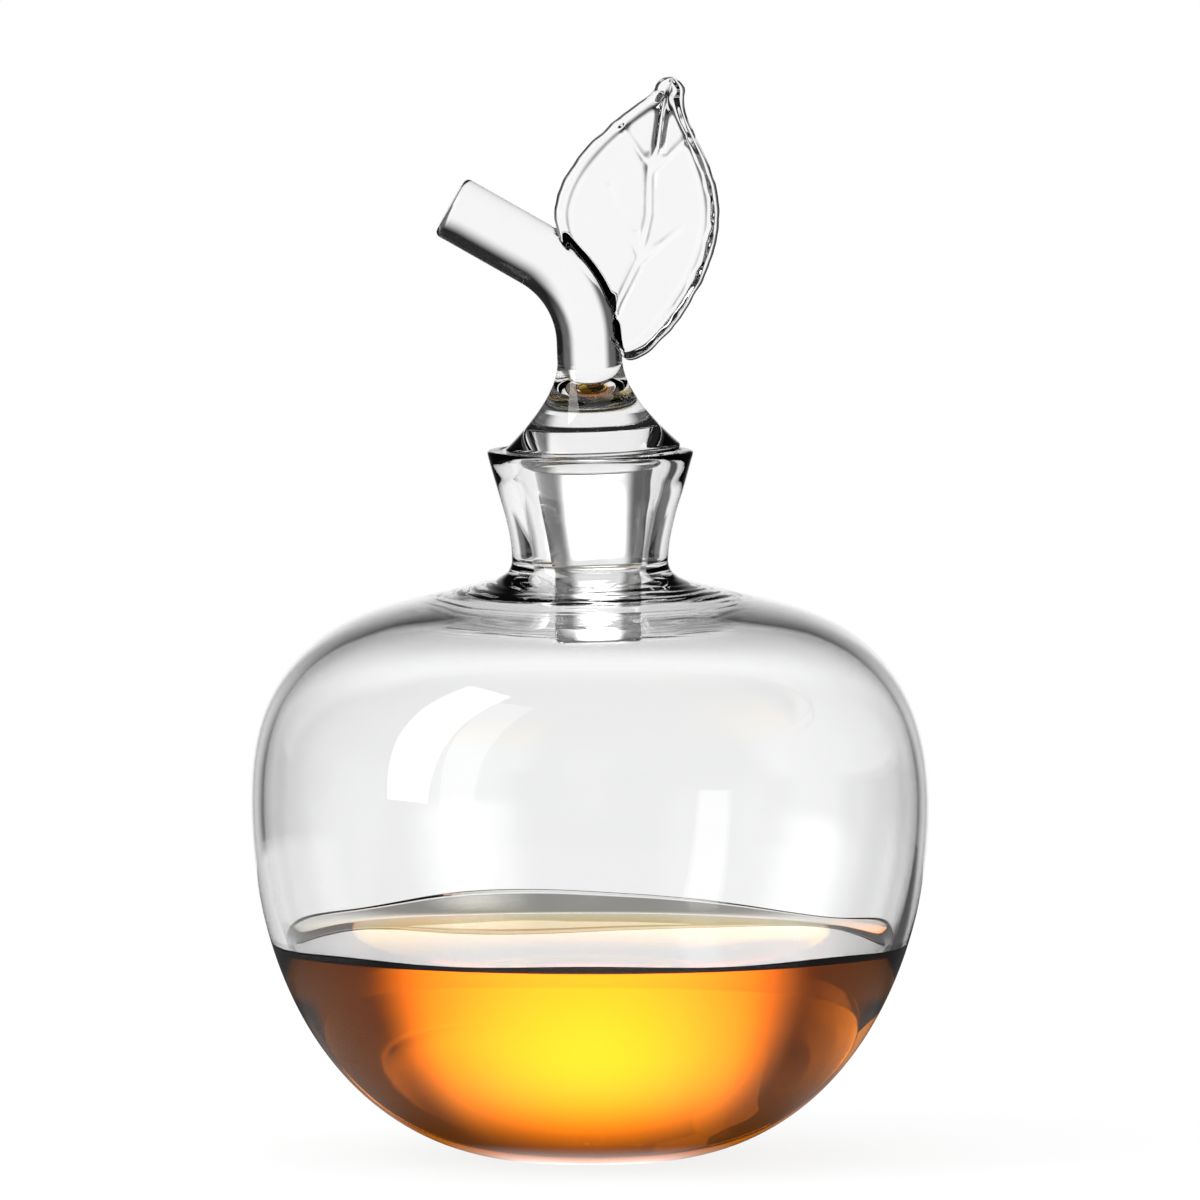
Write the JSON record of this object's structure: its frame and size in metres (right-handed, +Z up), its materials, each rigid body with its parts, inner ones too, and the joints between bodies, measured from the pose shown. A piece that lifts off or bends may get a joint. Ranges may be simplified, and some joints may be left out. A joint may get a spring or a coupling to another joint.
{
  "type": "glass decanter",
  "caption": "Apple-shaped clear glass decanter part filled with an amber drink, closed by a solid glass stopper in the form of a bent branch with a leaf.",
  "frame": {"origin": "on the bowl's turning axis, in the plane that the foot stands on", "axes": "+Z up along the turning axis, -Y the front with the leaf and branch seen flat, +X the side that the leaf leans to"},
  "size_m": [0.145, 0.145, 0.2322],
  "materials": {
    "bottle_glass": "polished",
    "stopper_glass": "polished",
    "amber_drink": "clear liquid"
  },
  "bodies": {
    "root": {"bottle": "bottle_glass", "drink": "amber_drink", "stopper": "stopper_glass"}
  },
  "joints": []
}
